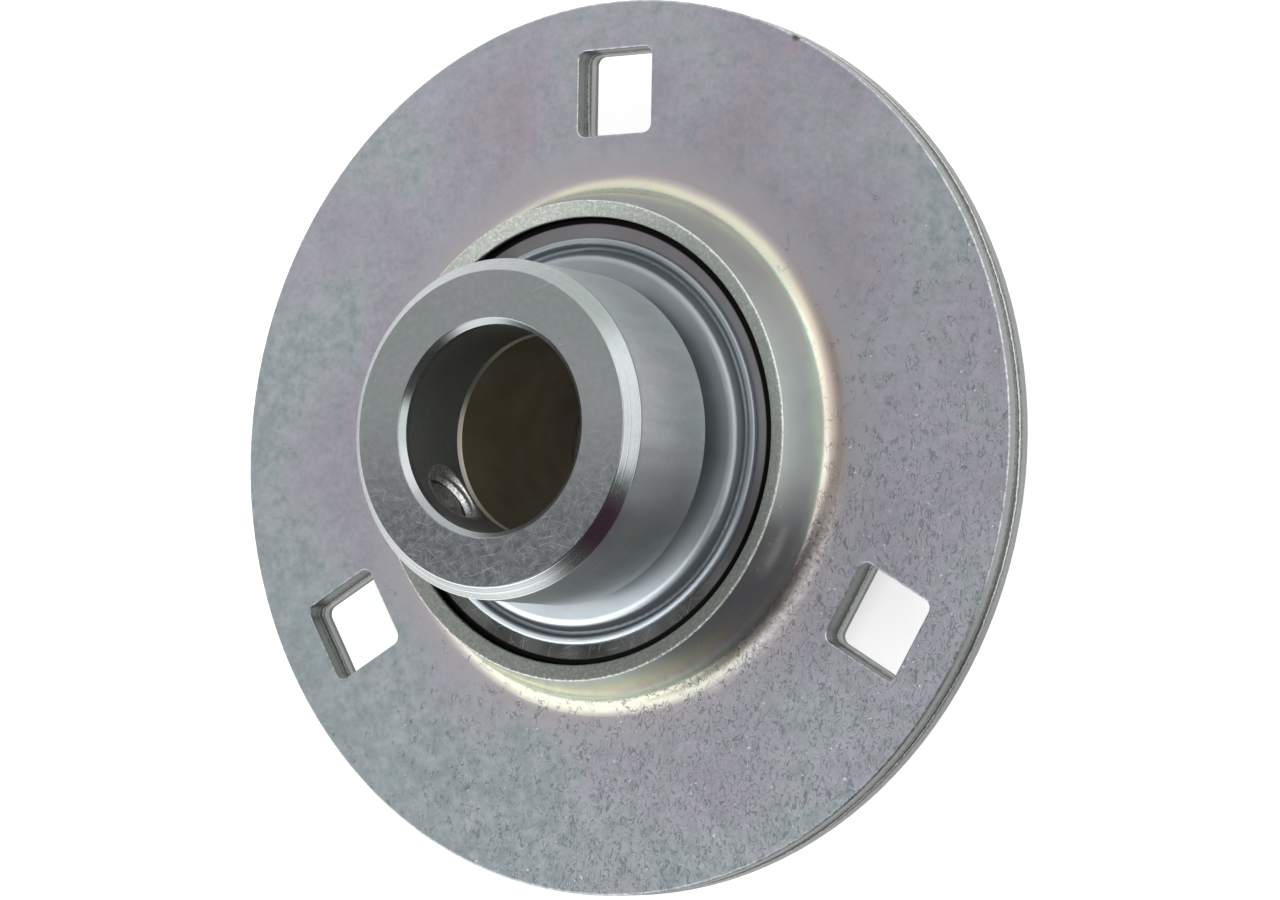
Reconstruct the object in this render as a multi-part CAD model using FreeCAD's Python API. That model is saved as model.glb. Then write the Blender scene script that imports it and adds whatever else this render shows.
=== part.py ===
import FreeCAD, Part
import math
import os

# Three-bolt flange bearing, in millimetres.
# Z is the shaft's axis. Z = 0 is the mounting face, the back of the rear plate.
# +Z points to the collar. Heights in the sub-part functions are measured from the seam between the two
# plates, which is also the middle plane of the bearing.
# Each finished piece is lifted by one sheet to bring the mounting face to 0.

V = FreeCAD.Vector

# Pressed flange, two plates back to back
sheet = 2.0
bolt_circle = 71.5
rim_margin = 9.25
hole_count = 3
first_hole_angle = 90.0
hole_side = 8.7
hole_corner = 0.9
bend_radius = 2.0
lip_over_ring = 0.8
lip_wall = 1.75
lip_edge = 0.2
rim_roll = 0.25
hole_roll = 0.2
smooth_cut = 1.5
torn_draft = 0.12

# Bearing rings
bore_diameter = 20.0
sphere_diameter = 47.0
ring_width = 14.0
seat_clearance = 0.03
outer_groove_share = 0.204
inner_groove_share = 0.131
seal_seat_step = 1.2
seal_seat_depth = 2.1
ring_edge = 0.45
rear_overhang = 0.5
shoulder_run_out = 1.1
bore_chamfer = 0.6

# Balls and cage. The balls are as large as the rings' section and the room between the seals let them be,
# and the shares give that size.
ball_count = 8
first_ball_angle = 22.5
ball_section_share = 0.294
ball_room_share = 0.81
ball_clearance = 0.02
groove_ratio = 0.52
cage_wall = 2.8
cage_back = 0.5
cage_horn = 1.7
cage_slot = 2.0
cage_slot_depth = 2.6
pocket_clearance = 0.12

# Seals, the same on both sides
seal_fit = 0.02
cover_sheet = 0.45
cover_stand = 1.3
cover_gap = 0.65
cover_edge_round = 0.18
rim_stand = 0.55
rim_width = 0.65
rim_round = 0.3
channel_width = 1.3
channel_drop = 0.15
channel_slope = 0.3
channel_round = 0.25
dome_slope = 0.6
dome_round = 0.8
washer_sheet = 0.4
washer_reach = 4.6
lip_disc = 0.7
lip_reach = 1.7
lip_rise = 0.35
lip_tip = 0.3
lip_round = 0.5
lip_clearance = 0.05

# Eccentric lock
cam_length = 4.5
cam_offset = 0.8
cam_step = 0.35
cam_angle = 36.0
lock_clearance = 0.25
end_clearance = 0.1
collar_diameter = 33.0
collar_width = 13.4
collar_bore_clearance = 0.08
collar_overlap = 3.9
collar_chamfer = 1.25
collar_back_chamfer = 0.5
collar_bore_chamfer = 0.6

# Set screw with its tapped hole, and the blind hole for a drift
screw_angle = 216.0
thread_diameter = 6.0
thread_pitch = 1.0
thread_depth = 0.35
thread_clearance = 0.07
crest_flat = 0.1
screw_land = 0.4
screw_sunk = 0.5
screw_tip_gap = 0.9
socket_width = 3.0
socket_depth = 2.0
tip_chamfer = 0.7
cup_depth = 0.7
cup_width = 3.2
drift_angle = 96.0
drift_diameter = 5.0
drift_depth = 4.0
drill_point = 59.0

# Worked out from the sizes above
sphere_radius = sphere_diameter / 2
half_width = ring_width / 2
pitch_radius = (bore_diameter + sphere_diameter) / 4
section_ball = ball_section_share * (sphere_diameter - bore_diameter)
room_ball = ball_room_share * (ring_width - 2 * seal_seat_depth)
ball_diameter = min(section_ball, room_ball)
ball_radius = ball_diameter / 2
outer_land = pitch_radius + ball_radius - outer_groove_share * ball_diameter
inner_shoulder = pitch_radius - ball_radius + inner_groove_share * ball_diameter
seal_seat = outer_land + seal_seat_step
seat_floor = half_width - seal_seat_depth
cover_top = half_width + cover_stand
cam_start = cover_top + shoulder_run_out
cam_end = cam_start + cam_length
cam_radius = inner_shoulder - cam_step - cam_offset
collar_radius = collar_diameter / 2
collar_bore = bore_diameter / 2 + collar_bore_clearance
recess_floor = cam_end + end_clearance
collar_back = recess_floor - collar_overlap - end_clearance
collar_face = collar_back + collar_width
flange_radius = bolt_circle / 2 + rim_margin
screw_height = recess_floor + screw_land + thread_diameter / 2
axis_z = V(0, 0, 1)
origin = V(0, 0, 0)
near = 1e-4


def corner_arc(before, corner, after, radius):
    # Tangent arc of a rounded corner, as its first, middle and last point.
    to_before = (before - corner).normalize()
    to_after = (after - corner).normalize()
    half_angle = to_before.getAngle(to_after) / 2
    reach = radius / math.tan(half_angle)
    centre = corner + (to_before + to_after).normalize() * (radius / math.sin(half_angle))
    middle = centre + (corner - centre).normalize() * radius
    return [corner + to_before * reach, middle, corner + to_after * reach]


def outline(corners):
    # Closed outline in the half plane X, Z. A corner is a radius from the axis and a height.
    # A third number rounds it.
    points = [V(corner[0], 0, corner[1]) for corner in corners]
    spans = []
    for index, corner in enumerate(corners):
        point = points[index]
        if len(corner) == 3:
            following = points[(index + 1) % len(points)]
            spans.append(corner_arc(points[index - 1], point, following, corner[2]))
        else:
            spans.append([point])
    edges = []
    for index, span in enumerate(spans):
        following = spans[(index + 1) % len(spans)]
        if len(span) == 3:
            edges.append(Part.Arc(span[0], span[1], span[2]).toShape())
        edges.append(Part.LineSegment(span[-1], following[0]).toShape())
    return Part.Wire(edges)


def turned(corners):
    # Solid of revolution about the shaft's axis.
    return Part.Face(outline(corners)).revolve(origin, axis_z, 360)


def polar(radius, angle, height=0.0):
    # Point at a radius, an angle about the shaft's axis, and a height.
    return V(radius * math.cos(math.radians(angle)), radius * math.sin(math.radians(angle)), height)


def section_point(radius, angle):
    # Point of the half plane X, Z at a distance and an elevation from the bearing's centre.
    return V(radius * math.cos(math.radians(angle)), 0, radius * math.sin(math.radians(angle)))


def round_edges(solid, heights, radii, size):
    # Rounds the full circles about the shaft's axis that lie at a height and radius of the lists.
    chosen = []
    for edge in solid.Edges:
        if not hasattr(edge.Curve, "Radius") or edge.Length < math.pi * edge.Curve.Radius:
            continue
        for height, radius in zip(heights, radii):
            same_height = abs(edge.Curve.Center.z - height) < near
            if same_height and abs(edge.Curve.Radius - radius) < near:
                chosen.append(edge)
    return solid.makeFillet(size, chosen)


def square_wire(side, corner, height):
    # Square with rounded corners about the Z axis, at a height.
    half = side / 2
    flat = half - corner
    bulge = half - corner + corner * math.sqrt(0.5)
    edges = []
    for turn in range(4):
        start = V(half, -flat, height)
        end = V(half, flat, height)
        middle = V(bulge, bulge, height)
        after = V(flat, half, height)
        side_edges = [Part.LineSegment(start, end).toShape(), Part.Arc(end, middle, after).toShape()]
        for edge in side_edges:
            edge.rotate(origin, axis_z, 90 * turn)
            edges.append(edge)
    return Part.Wire(edges)


def hole_punch():
    # Square punch: straight through the smooth part of the cut, wider towards the seam where it tore.
    torn_height = sheet - smooth_cut
    below = square_wire(hole_side + 2 * torn_draft, hole_corner + torn_draft, 0.0)
    middle = square_wire(hole_side, hole_corner, torn_height)
    straight = Part.Face(middle).extrude(V(0, 0, sheet))
    torn = Part.makeLoft([below, middle], True, True)
    return straight.fuse(torn).removeSplitter()


def plate_section():
    # Section of one plate: the flat, the bend, the hub drawn over the ring's sphere, and the sheared rim.
    seat = sphere_radius + seat_clearance
    under_bend = bend_radius + sheet
    bend_centre = V(math.sqrt((seat + under_bend) ** 2 - under_bend ** 2), 0, under_bend)
    foot_angle = math.degrees(math.atan2(bend_centre.z, bend_centre.x))
    lip_angle = math.degrees(math.asin((half_width + lip_over_ring) / seat))
    halfway = (foot_angle + lip_angle) / 2
    bend_middle = math.radians((270 + 180 + foot_angle) / 2)
    bend_direction = V(math.cos(bend_middle), 0, math.sin(bend_middle))
    under_foot = V(bend_centre.x, 0, 0)
    inner_foot = section_point(seat, foot_angle)
    inner_lip = section_point(seat, lip_angle)
    outer_lip = section_point(seat + lip_wall, lip_angle)
    outer_foot = section_point(seat + sheet, foot_angle)
    top_foot = V(bend_centre.x, 0, sheet)
    roll_start = V(flange_radius - rim_roll, 0, sheet)
    roll_middle = roll_start + V(rim_roll * math.sqrt(0.5), 0, rim_roll * (math.sqrt(0.5) - 1))
    roll_end = V(flange_radius, 0, sheet - rim_roll)
    smooth_end = V(flange_radius, 0, sheet - smooth_cut)
    torn_end = V(flange_radius - torn_draft, 0, 0)
    edges = [
        Part.Arc(under_foot, bend_centre + bend_direction * under_bend, inner_foot).toShape(),
        Part.Arc(inner_foot, section_point(seat, halfway), inner_lip).toShape(),
        Part.LineSegment(inner_lip, outer_lip).toShape(),
        Part.Arc(outer_lip, section_point(seat + (sheet + lip_wall) / 2, halfway), outer_foot).toShape(),
        Part.Arc(outer_foot, bend_centre + bend_direction * bend_radius, top_foot).toShape(),
        Part.LineSegment(top_foot, roll_start).toShape(),
        Part.Arc(roll_start, roll_middle, roll_end).toShape(),
        Part.LineSegment(roll_end, smooth_end).toShape(),
        Part.LineSegment(smooth_end, torn_end).toShape(),
        Part.LineSegment(torn_end, under_foot).toShape(),
    ]
    return Part.Wire(edges), inner_lip, outer_lip


def flange_plate():
    # Front plate, with its three square holes for carriage bolts.
    section, inner_lip, outer_lip = plate_section()
    plate = Part.Face(section).revolve(origin, axis_z, 360)
    plate = round_edges(plate, [inner_lip.z, outer_lip.z], [inner_lip.x, outer_lip.x], lip_edge)
    for index in range(hole_count):
        angle = first_hole_angle + index * 360 / hole_count
        punch = hole_punch()
        punch.translate(V(bolt_circle / 2, 0, 0))
        punch.rotate(origin, axis_z, angle)
        plate = plate.cut(punch)
    flat = flange_radius - rim_roll
    mouth = []
    for edge in plate.Edges:
        box = edge.BoundBox
        on_top = abs(box.ZMin - sheet) < near and abs(box.ZMax - sheet) < near
        if on_top and box.DiagonalLength < 2 * hole_side and edge.CenterOfMass.Length < flat:
            mouth.append(edge)
    return plate.makeFillet(hole_roll, mouth)


def ball_groove(conformity_side):
    # Torus that cuts a raceway. The side is 1 for the outer ring and -1 for the inner one.
    groove_radius = ball_diameter * groove_ratio
    offset = groove_radius - ball_radius - ball_clearance
    return Part.makeTorus(pitch_radius - conformity_side * offset, groove_radius)


def outer_ring():
    # Outer ring: spherical outside, raceway, and a seat for a seal at each end.
    blank = turned([
        (outer_land, -seat_floor), (seal_seat, -seat_floor), (seal_seat, -half_width),
        (sphere_diameter, -half_width), (sphere_diameter, half_width),
        (seal_seat, half_width), (seal_seat, seat_floor), (outer_land, seat_floor),
    ])
    ring = blank.common(Part.makeSphere(sphere_radius)).cut(ball_groove(1))
    edge_radius = math.sqrt(sphere_radius ** 2 - half_width ** 2)
    return round_edges(ring, [-half_width, half_width], [edge_radius, edge_radius], ring_edge)


def inner_ring():
    # Inner ring: longer towards the collar, where it ends in an eccentric cam.
    rear_end = -(half_width + rear_overhang)
    bore = bore_diameter / 2
    shoulder = turned([
        (bore + bore_chamfer, rear_end), (inner_shoulder, rear_end, ring_edge),
        (inner_shoulder, cam_start, ring_edge), (bore, cam_start), (bore, rear_end + bore_chamfer),
    ])
    cam = turned([
        (0, cam_start), (cam_radius, cam_start), (cam_radius, cam_end, ring_edge), (0, cam_end),
    ])
    cam.translate(polar(cam_offset, cam_angle))
    core = turned([
        (0, cam_start), (bore, cam_start), (bore, cam_end - bore_chamfer),
        (bore + bore_chamfer, cam_end), (0, cam_end),
    ])
    return shoulder.fuse(cam.cut(core)).removeSplitter().cut(ball_groove(-1))


def ball(index):
    # One ball, in its place between the raceways.
    solid = Part.makeSphere(ball_radius)
    solid.translate(polar(pitch_radius, first_ball_angle + index * 360 / ball_count))
    return solid


def cage():
    # Moulded snap cage: a thin back ring, ball pockets open to the front, and slots between the horns.
    pocket = ball_radius + pocket_clearance
    back = -(pocket + cage_back)
    inner = pitch_radius - cage_wall / 2
    outer = pitch_radius + cage_wall / 2
    crown = turned([(inner, back), (outer, back), (outer, cage_horn), (inner, cage_horn)])
    tools = []
    for index in range(ball_count):
        angle = first_ball_angle + index * 360 / ball_count
        sphere = Part.makeSphere(pocket)
        sphere.translate(polar(pitch_radius, angle))
        tools.append(sphere)
        slot = Part.makeBox(2 * cage_wall, cage_slot, cage_slot_depth)
        slot.translate(V(pitch_radius - cage_wall, -cage_slot / 2, cage_horn - cage_slot_depth))
        slot.rotate(origin, axis_z, angle + 180 / ball_count)
        tools.append(slot)
    return crown.cut(tools)


def seal_cover():
    # Stamped cover washer: folded rim in the seat, a channel, and a raised flat round the shaft ring.
    outside = seal_seat - seal_fit
    skirt_inside = outside - cover_sheet
    skirt_foot = seat_floor + washer_sheet
    rim_top = half_width + rim_stand
    rim_inside = outside - rim_width
    floor = half_width - channel_drop
    dome_edge = rim_inside - channel_width
    inner = inner_shoulder + cover_gap
    steepness = math.atan2(cover_top - floor, dome_slope)
    mitre = cover_sheet * math.tan(steepness / 2)
    return turned([
        (outside, skirt_foot), (outside, rim_top, rim_round), (rim_inside, rim_top, rim_round),
        (rim_inside - channel_slope, floor, channel_round), (dome_edge + dome_slope, floor, channel_round),
        (dome_edge, cover_top, dome_round), (inner, cover_top, cover_edge_round),
        (inner, cover_top - cover_sheet), (dome_edge - mitre, cover_top - cover_sheet, channel_round),
        (dome_edge + dome_slope - mitre, floor - cover_sheet, channel_round),
        (skirt_inside, floor - cover_sheet), (skirt_inside, skirt_foot),
    ])


def seal_washer():
    # Flat backing washer on the floor of the seat.
    outside = seal_seat - seal_fit
    inner = outside - washer_reach
    top = seat_floor + washer_sheet
    return turned([
        (outside, seat_floor), (outside, top), (inner, top), (inner, seat_floor),
    ])


def seal_lip():
    # Rubber lip, held between cover and washer, that runs on the shaft ring's shoulder.
    base = seat_floor + washer_sheet
    outside = seal_seat - seal_fit - cover_sheet - seal_fit
    body_top = half_width - channel_drop - cover_sheet
    body_inside = seal_seat - seal_fit - rim_width - channel_width
    disc_top = base + lip_disc
    tip = inner_shoulder + lip_clearance
    tip_top = disc_top + lip_rise
    knee = tip + lip_reach
    return turned([
        (outside, base), (outside, body_top), (body_inside + dome_slope, body_top),
        (body_inside, disc_top), (knee, disc_top, lip_round),
        (tip + lip_tip / 2, tip_top), (tip, tip_top - lip_tip / 2), (tip, tip_top - lip_tip),
        (knee, base, lip_round),
    ])


def thread_rings(crest, root, length):
    # Rod along Z whose side is a row of V rings at the thread's pitch, starting at height 0.
    turns = max(1, int(length / thread_pitch))
    start = (length - turns * thread_pitch + crest_flat) / 2
    opening = thread_pitch - crest_flat
    points = [V(0, 0, 0), V(crest, 0, 0)]
    for turn in range(turns):
        height = start + turn * thread_pitch
        points.append(V(crest, 0, height))
        points.append(V(root, 0, height + opening / 2))
        points.append(V(crest, 0, height + opening))
    points.append(V(crest, 0, length))
    points.append(V(0, 0, length))
    points.append(points[0])
    return Part.Face(Part.makePolygon(points)).revolve(origin, axis_z, 360)


def point_outwards(solid, distance, angle, height):
    # Turns a solid that stands along +Z to point out of the shaft's axis, with its foot at a distance.
    solid.rotate(origin, V(0, 1, 0), 90)
    solid.translate(V(distance, 0, height))
    solid.rotate(origin, axis_z, angle)
    return solid


def locking_collar():
    # Collar: turned sleeve with an eccentric recess over the cam, a tapped hole and a blind drift hole.
    collar = turned([
        (collar_bore, collar_back), (collar_radius - collar_back_chamfer, collar_back),
        (collar_radius, collar_back + collar_back_chamfer), (collar_radius, collar_face - collar_chamfer),
        (collar_radius - collar_chamfer, collar_face), (collar_bore + collar_bore_chamfer, collar_face),
        (collar_bore, collar_face - collar_bore_chamfer),
    ])
    recess_radius = cam_radius + lock_clearance
    recess = Part.makeCylinder(recess_radius, recess_floor - collar_back, V(0, 0, collar_back))
    recess.translate(polar(cam_offset, cam_angle))
    crest = thread_diameter / 2 - thread_depth / 2
    tap = thread_rings(crest + thread_clearance, crest + thread_depth, collar_radius)
    tap = point_outwards(tap, bore_diameter / 4, screw_angle, screw_height)
    drill = drift_diameter / 2
    drill_tip = drill / math.tan(math.radians(drill_point))
    drift = turned([
        (0, 0), (drill, drill_tip), (drill, collar_radius), (0, collar_radius),
    ])
    drift = point_outwards(drift, collar_radius - drift_depth, drift_angle, screw_height)
    return collar.cut([recess, tap, drift])


def set_screw():
    # Grub screw with a hexagon socket and a cup point, sunk below the collar's outside.
    crest = thread_diameter / 2 - thread_depth / 2
    length = collar_radius - screw_sunk - collar_bore - screw_tip_gap
    body = thread_rings(crest, crest - thread_depth, length)
    chamfered = turned([
        (0, 0), (crest - tip_chamfer, 0), (crest, tip_chamfer),
        (crest, length - thread_depth), (crest - thread_depth, length), (0, length),
    ])
    cup = Part.makeCone(cup_width / 2, 0, cup_depth)
    corner = socket_width / math.sqrt(3)
    corners = [polar(corner, 60 * index, length - socket_depth) for index in range(7)]
    socket = Part.Face(Part.makePolygon(corners)).extrude(V(0, 0, socket_depth * 2))
    body = body.common(chamfered).cut([cup, socket])
    return point_outwards(body, collar_bore + screw_tip_gap, screw_angle, screw_height)


def other_side(solid):
    # The same piece on the far side of the bearing's middle plane.
    return solid.mirror(origin, axis_z)


def all_pieces():
    # Every piece by its node's name, with heights still measured from the seam.
    pieces = {
        "flange_front": flange_plate(),
        "flange_rear": other_side(flange_plate()),
        "outer_ring": outer_ring(),
        "inner_ring": inner_ring(),
        "cage": cage(),
        "seal_cover_front": seal_cover(),
        "seal_cover_rear": other_side(seal_cover()),
        "seal_washer_front": seal_washer(),
        "seal_washer_rear": other_side(seal_washer()),
        "seal_lip_front": seal_lip(),
        "seal_lip_rear": other_side(seal_lip()),
        "locking_collar": locking_collar(),
        "set_screw": set_screw(),
    }
    for index in range(ball_count):
        pieces["ball_" + str(index + 1)] = ball(index)
    return pieces


os.makedirs("parts", exist_ok=True)
for node, shape in all_pieces().items():
    shape.translate(V(0, 0, sheet))
    shape.exportStep("parts/" + node + ".step")
    print(node, shape.isValid(), len(shape.Solids), round(shape.Volume, 1), "mm3")
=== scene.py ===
import math
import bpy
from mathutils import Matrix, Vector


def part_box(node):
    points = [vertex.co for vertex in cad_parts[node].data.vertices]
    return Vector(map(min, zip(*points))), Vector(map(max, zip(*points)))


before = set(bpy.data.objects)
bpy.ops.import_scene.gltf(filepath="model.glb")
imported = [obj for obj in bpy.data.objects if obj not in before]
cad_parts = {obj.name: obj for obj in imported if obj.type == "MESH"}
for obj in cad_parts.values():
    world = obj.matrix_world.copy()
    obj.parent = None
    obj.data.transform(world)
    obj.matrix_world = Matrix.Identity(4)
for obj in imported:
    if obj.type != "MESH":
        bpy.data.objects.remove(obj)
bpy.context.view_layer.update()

from types import SimpleNamespace

import bpy
from mathutils import Matrix, Vector

bl_info = {
    "name": "Three-bolt flange bearing",
    "version": (1, 0, 0),
    "blender": (4, 5, 0),
    "location": "View3D > Sidebar > Bearing",
    "description": "Gives a pressed flange bearing its finishes and sets it on a studio floor",
    "category": "Object",
}

MM = 0.001
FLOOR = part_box("flange_rear")[0].z


def direction(turn, rise=0.0):
    """Unit direction at a turn from +X towards +Y and a rise above the flat, in degrees."""
    turn, rise = math.radians(turn), math.radians(rise)
    return Vector((math.cos(turn) * math.cos(rise), math.sin(turn) * math.cos(rise), math.sin(rise)))


# Sizes and places on the bearing, in millimetres. The seam is where the two plates meet.
PLATE_LOW, PLATE_HIGH = (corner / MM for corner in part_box("flange_front"))
RING_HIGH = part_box("outer_ring")[1] / MM
COVER_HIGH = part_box("seal_cover_front")[1] / MM
COLLAR_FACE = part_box("locking_collar")[1].z / MM
SCREW_CENTRE = sum(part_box("set_screw"), Vector()) / 2 / MM
SCREW_AXIS = Vector((SCREW_CENTRE.x, SCREW_CENTRE.y, 0)).normalized()
SEAM = PLATE_LOW.z
SHEET = 2.0
HUB_END = PLATE_HIGH.z - SEAM
HUB_WALL = 25.1
LIP_OUTSIDE = 24.0
LIP_INSIDE = math.sqrt(RING_HIGH.x ** 2 - HUB_END ** 2)
RING_FACE = math.sqrt(RING_HIGH.x ** 2 - (RING_HIGH.z - SEAM) ** 2)
HOLES_WITHIN = 43.4
SHAFT_RADIUS = 10.0
COVER_RIM = COVER_HIGH.x - 0.65
COLLAR_CHAMFER = 1.25
CHAMFER_MIDDLE = COLLAR_FACE - 0.7

# Where parts of the finish and of the painted light start and end, by the distance from the shaft's axis, and for the
# tap's rim from the screw's axis.
FLAT = (31.0, 43.0)
HUB_BANDS = (24.0, 32.0)
ROSY_BEND = (25.7, 27.2)
FROSTED_BEND = (26.2, 27.8)
HIGHLIGHT_BEND = (24.2, 27.1)
DARK_REFLECTION_END = 26.1
BORE_MOUTH = (10.1, 10.75)
TAP_RIM = (2.6, 3.45)
CLOTH_START, CLOTH_FULL = 48.0, 60.0

# Heights over the seam: where the hub's sheared end begins, and the stripes on the cut edges and the wall.
LIP_FOOT = 7.65
TORN_TOP = 0.95
PUNCH_STRIPE = (-1.35, -0.6)
WALL_STREAKS = (3.2, 7.4)

# Sides on which the finish, the painted light or the board differs, and the places of two small marks.
FILM_LEAN = (0.5, 0.85, 0.0)
UPPER_LEFT = (-0.6, 0.8, 0.0)
CLOTH_SIDE = (0.5, -0.866, 0.0)
DARK_REFLECTION_SIDE, HIGHLIGHT_SIDE, CLEAN_AND_REFLECTION_SIDE, RIGHT_SIDE = (direction(turn) for turn in (-42, 55, 41, 0))
CHAMFER_STAIN = direction(-37) * 15.8 + Vector((0, 0, CHAMFER_MIDDLE))
RIM_NICK = direction(62) * PLATE_HIGH.x + Vector((0, 0, SEAM + 1.75))

# How many features of a pattern lie on a millimetre: patches and drifts are some 13 mm across, blushes 5 mm,
# clouds 5 to 9 mm, mottles 1.5 mm, and grains, flecks and tears about half a millimetre. Real grain is finer,
# and it is drawn as coarse as it needs to show.
PATCHES, BLUSHES, STRETCHES, DRIFTS = 0.075, 0.22, 0.06, 0.08
MOTTLES, GRAINS, FLECKS, TEARS = 0.65, 1.7, 2.4, 3.0
CLOUDS, COVER_CLOUDS, COLLAR_CLOUDS = 0.2, 0.15, 0.11

# Distance between the lines that tools leave, in millimetres. Turned lines have a real feed. Ground and honed
# lines are finer on the steel itself, and are drawn as coarse as they need to show.
RING_LINES, HONED_LINES, TURNED_LINES = 0.12, 0.15, 0.2

RGBA = {"size": 4, "min": 0, "max": 1}


def linear(code):
    """Linear colour of an sRGB hex value, fully opaque."""
    channels = [int(code[place:place + 2], 16) / 255 for place in (1, 3, 5)]
    bright = [((c + 0.055) / 1.055) ** 2.4 if c > 0.04045 else c / 12.92 for c in channels]
    return (*bright, 1.0)


def add(tree, kind, inputs=(), stops=(), **settings):
    """Adds a node with its settings. An input, by name or number, is set, or linked to a socket or a node."""
    made = tree.nodes.new("ShaderNode" + kind)
    for name, value in settings.items():
        setattr(made, name, value)
    usable = [socket for socket in made.inputs if socket.enabled]
    for key, value in dict(inputs).items():
        target = usable[key] if isinstance(key, int) else next(s for s in usable if s.name == key)
        if isinstance(value, bpy.types.Node):
            value = next(s for s in value.outputs if s.enabled)
        if isinstance(value, bpy.types.NodeSocket):
            tree.links.new(value, target)
        else:
            target.default_value = value
    for place, (position, colour) in enumerate(stops):
        ramp = made.color_ramp.elements
        stop = ramp[place] if place < 2 else ramp.new(position)
        stop.position = position
        stop.color = colour
    return made


def begin(name):
    """A new material with an empty tree, and the part's places in millimetres as its first node."""
    material = bpy.data.materials.new(name)
    material.use_nodes = True
    tree = material.node_tree
    tree.nodes.clear()
    place = add(tree, "TexCoord")
    mm = add(tree, "Mapping", {"Vector": place.outputs["Object"], "Scale": (1 / MM, 1 / MM, 1 / MM)})
    return material, tree, mm


def end(material, tree, inputs):
    """The surface shader, with its sockets set or linked, and the material's output."""
    surface = add(tree, "BsdfPrincipled", inputs)
    add(tree, "OutputMaterial", {"Surface": surface})
    return material


def around_axis(tree, mm):
    """Where a point lies: x, y, height, distance from the shaft's axis, and the outward direction on the flat."""
    parts = add(tree, "SeparateXYZ", {0: mm})
    x, y, height = parts.outputs
    flat = add(tree, "CombineXYZ", {"X": x, "Y": y})
    radius = add(tree, "VectorMath", {0: flat}, operation="LENGTH")
    outward = add(tree, "VectorMath", {0: flat}, operation="NORMALIZE")
    return SimpleNamespace(mm=mm, x=x, y=y, height=height, radius=radius, outward=outward)


def between(tree, value, low, high, soft):
    """1 where a value lies between two limits, with soft ends."""
    rise = add(tree, "MapRange", {"Value": value, "From Min": low - soft, "From Max": low + soft})
    fall = add(tree, "MapRange", {
        "Value": value, "From Min": high - soft, "From Max": high + soft, "To Min": 1.0, "To Max": 0.0})
    return add(tree, "Math", {0: rise, 1: fall}, operation="MULTIPLY")


def on_side(tree, at, side, start, full, strength):
    """How far a point lies on one side of the axis, from none at a first cosine to a strength at a second."""
    toward = add(tree, "VectorMath", {0: at.outward, 1: side}, operation="DOT_PRODUCT")
    return add(tree, "MapRange", {"Value": toward, "From Min": start, "From Max": full, "To Max": strength})


def turned_lines(tree, value, pitch):
    """Fine uneven lines at a tool's feed, along a distance such as the radius or the height."""
    fine = add(tree, "Math", {0: value, 1: 1 / pitch}, operation="MULTIPLY")
    return add(tree, "TexNoise", {"W": fine, "Scale": 1.0, "Detail": 2.0}, noise_dimensions="1D")


def scratches(tree, mm, length, spacing, turns, share):
    """Thin straight scratches in several directions, as handling leaves them. The share is how many show."""
    total = None
    for turn in turns:
        laid = add(tree, "Mapping", {
            "Vector": mm, "Rotation": (0, 0, math.radians(turn)), "Location": (turn, -turn, 0),
            "Scale": (length, spacing, length)}, vector_type="TEXTURE")
        streak = add(tree, "TexNoise", {"Vector": laid, "Scale": 1.0, "Detail": 1.0})
        thin = add(tree, "MapRange", {"Value": streak, "From Min": 1 - share, "From Max": 1.03 - share})
        total = thin if total is None else add(tree, "Math", {0: total, 1: thin}, operation="MAXIMUM")
    return total


def dress(material, *names):
    """Gives nodes of the frame their finish."""
    for name in names:
        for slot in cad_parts[name].material_slots:
            slot.material = material


def flat_film(tree, at, looks, grain):
    """The film on the flat of the plate: grey, with mottled patches of other hues, and paler at the upper left."""
    # The film leans to green at the lower left and by the rim, and to lilac at the upper right and by the hub.
    lean = add(tree, "VectorMath", {0: at.mm, 1: FILM_LEAN}, operation="DOT_PRODUCT")
    lean = add(tree, "MapRange", {
        "Value": lean, "From Min": -40.0, "From Max": 40.0, "To Min": -0.06, "To Max": 0.12})
    inward = add(tree, "MapRange", {
        "Value": at.radius, "From Min": FLAT[1], "From Max": FLAT[0], "To Min": -0.07, "To Max": 0.06})
    lean = add(tree, "Math", {0: lean, 1: inward}, operation="ADD")
    patches = add(tree, "TexNoise", {"Vector": at.mm, "Scale": PATCHES, "Detail": 2.5, "Roughness": 0.55})
    calm = add(tree, "MapRange", {"Value": patches, "To Min": 0.14, "To Max": 0.86})
    patches = add(tree, "Math", {0: calm, 1: lean}, operation="ADD")
    mottle = add(tree, "TexNoise", {"Vector": at.mm, "Scale": MOTTLES, "Detail": 3.0, "Roughness": 0.65})
    mottled = add(tree, "Math", {0: mottle, 1: 0.5}, operation="SUBTRACT")
    patches = add(tree, "Math", {0: mottled, 1: 0.55, 2: patches}, operation="MULTIPLY_ADD")
    film = add(tree, "ValToRGB", {0: patches}, stops=[
        (0.36, tuple(looks.green_film)), (0.80, tuple(looks.warm_film)),
        (0.48, tuple(looks.grey_film)), (0.60, tuple(looks.lilac_film))])
    grained = add(tree, "MapRange", {
        "Value": grain, "From Min": 0.3, "From Max": 0.7, "To Min": 0.9, "To Max": 1.06})
    shade = add(tree, "VectorMath", {0: film, "Scale": grained}, operation="SCALE")
    paler_to_upper_left = add(tree, "MapRange", {
        "Value": at.upper_left, "From Min": 14.0, "From Max": 40.0, "To Min": 0.94, "To Max": 1.02})
    darker = add(tree, "Math", {0: mottled, 1: 0.65, 2: paler_to_upper_left}, operation="MULTIPLY_ADD")
    return add(tree, "VectorMath", {0: shade, "Scale": darker}, operation="SCALE")


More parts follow.
